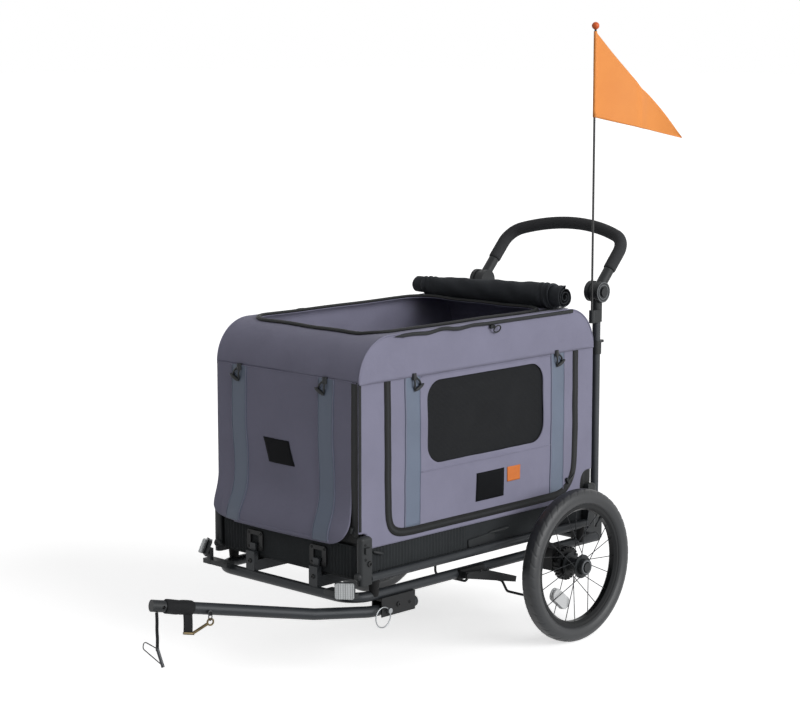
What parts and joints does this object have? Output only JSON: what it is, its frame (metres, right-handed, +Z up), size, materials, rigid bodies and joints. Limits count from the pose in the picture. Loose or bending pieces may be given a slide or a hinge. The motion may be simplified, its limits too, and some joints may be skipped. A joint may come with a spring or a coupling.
{
  "type": "dog bike trailer",
  "caption": "Bike trailer for a dog: soft cabin with mesh windows and open roof on a tube chassis with spoked wheels, side drawbar, push handle and safety flag.",
  "frame": {"origin": "on the ground under the middle of the whole length and width", "axes": "+X towards the bicycle, +Y to the trailer's left, +Z up"},
  "size_m": [1.7653, 0.797, 1.5899],
  "materials": {
    "satin_tube": "satin dark grey powder coat",
    "black_metal": "satin black powder coat",
    "black_plastic": "fine matte grain",
    "grey_plastic": "matte",
    "base_black": "matte, ribbed",
    "buffer": "matte",
    "cabin_cloth": "coated woven cloth",
    "mesh": "open black mesh",
    "mat": "padded cloth",
    "foam": "closed-cell foam",
    "tyre": "moulded rubber",
    "rim": "satin black",
    "spoke": "drawn wire",
    "steel": "zinc plated",
    "hook": "plated",
    "webbing": "woven webbing",
    "lens": "clear prism plastic",
    "pole": "fibreglass rod",
    "orange_cloth": "woven",
    "orange_plastic": "gloss"
  },
  "bodies": {
    "chassis": {"chassis_tubes": "satin_tube", "carrier_frame": "satin_tube", "uprights": "satin_tube", "drawbar_tube": "satin_tube", "drawbar_bracket": "black_metal", "docking_brackets": "black_metal", "leg_bracket": "black_metal", "axle_carriers": "black_metal", "corner_posts": "black_plastic", "upright_sleeves": "black_plastic", "upright_feet": "black_plastic", "front_clips": "black_plastic", "reflector_housings": "black_plastic", "hitch_head": "black_plastic", "brake_clamps": "black_plastic", "base_tray": "base_black", "buffer_cones": "buffer", "left_side_panel": "cabin_cloth", "right_side_panel": "cabin_cloth", "front_panel": "cabin_cloth", "rear_panel": "cabin_cloth", "roof_cap": "cabin_cloth", "window_meshes": "mesh", "roof_mesh_roll": "mesh", "floor_mat": "mat", "axle_shafts": "steel", "hitch_pin": "steel", "drawbar_ring": "steel", "snap_hook": "hook", "safety_strap": "webbing", "lanyard": "webbing", "reflector_lenses": "lens", "flag_pole": "pole", "flag": "orange_cloth", "flag_ball": "orange_plastic"},
    "front_hoop": {"front_hoop": "satin_tube"},
    "parking_leg": {"parking_leg": "black_plastic"},
    "brake_bar": {"brake_bar": "black_metal"},
    "lock_pin": {"lock_pin": "steel"},
    "left_joint_button": {"left_joint_button": "black_plastic"},
    "right_joint_button": {"right_joint_button": "black_plastic"},
    "left_post_button": {"left_post_button": "black_plastic"},
    "right_post_button": {"right_post_button": "black_plastic"},
    "left_release_button": {"left_release_button": "grey_plastic"},
    "right_release_button": {"right_release_button": "grey_plastic"},
    "handle": {"handle_tube": "satin_tube", "foam_grip": "foam", "joint_knuckles": "black_plastic"},
    "left_wheel": {"left_tyre": "tyre", "left_rim": "rim", "left_spokes": "spoke", "left_hub": "black_plastic", "left_bearings": "steel", "left_brake_ring": "black_plastic"},
    "right_wheel": {"right_tyre": "tyre", "right_rim": "rim", "right_spokes": "spoke", "right_hub": "black_plastic", "right_bearings": "steel", "right_brake_ring": "black_plastic"}
  },
  "joints": [
    {"name": "left_wheel_spin", "type": "hinge", "parent": "chassis", "child": "left_wheel", "pos_m": [-0.31679, 0.361, 0.2], "axis": [0, 1, 0], "continuous": true},
    {"name": "right_wheel_spin", "type": "hinge", "parent": "chassis", "child": "right_wheel", "pos_m": [-0.31679, -0.361, 0.2], "axis": [0, 1, 0], "continuous": true},
    {"name": "handle_tilt", "type": "hinge", "parent": "chassis", "child": "handle", "pos_m": [-0.57879, 0, 0.877], "axis": [0, -1, 0], "range_deg": [-42.5, 62.5]},
    {"name": "front_hoop_fold", "type": "hinge", "parent": "chassis", "child": "front_hoop", "pos_m": [0.34421, 0, 0.306], "axis": [0, -1, 0], "range_deg": [0, 75], "deforming": ["left_side_panel", "right_side_panel", "front_panel", "rear_panel", "roof_cap", "window_meshes", "roof_mesh_roll"]},
    {"name": "parking_leg_fold", "type": "hinge", "parent": "chassis", "child": "parking_leg", "pos_m": [0.01321, 0.275, 0.219], "axis": [0, -1, 0], "range_deg": [0, 78]},
    {"name": "brake_bar_press", "type": "hinge", "parent": "chassis", "child": "brake_bar", "pos_m": [-0.37179, 0, 0.194], "axis": [0, 1, 0], "range_deg": [0, 20]},
    {"name": "lock_pin_pull", "type": "slide", "parent": "chassis", "child": "lock_pin", "axis": [0, 1, 0], "range_m": [0, 0.045]},
    {"name": "left_joint_button_press", "type": "slide", "parent": "handle", "child": "left_joint_button", "axis": [0, -1, 0], "range_m": [0, 0.004], "stiffness_N_per_m": 600},
    {"name": "left_post_button_press", "type": "slide", "parent": "chassis", "child": "left_post_button", "axis": [0, -1, 0], "range_m": [0, 0.004], "stiffness_N_per_m": 600},
    {"name": "left_release_button_press", "type": "slide", "parent": "chassis", "child": "left_release_button", "axis": [0, -1, 0], "range_m": [0, 0.005], "stiffness_N_per_m": 600},
    {"name": "right_joint_button_press", "type": "slide", "parent": "handle", "child": "right_joint_button", "axis": [0, 1, 0], "range_m": [0, 0.004], "stiffness_N_per_m": 600},
    {"name": "right_post_button_press", "type": "slide", "parent": "chassis", "child": "right_post_button", "axis": [0, 1, 0], "range_m": [0, 0.004], "stiffness_N_per_m": 600},
    {"name": "right_release_button_press", "type": "slide", "parent": "chassis", "child": "right_release_button", "axis": [0, 1, 0], "range_m": [0, 0.005], "stiffness_N_per_m": 600}
  ]
}
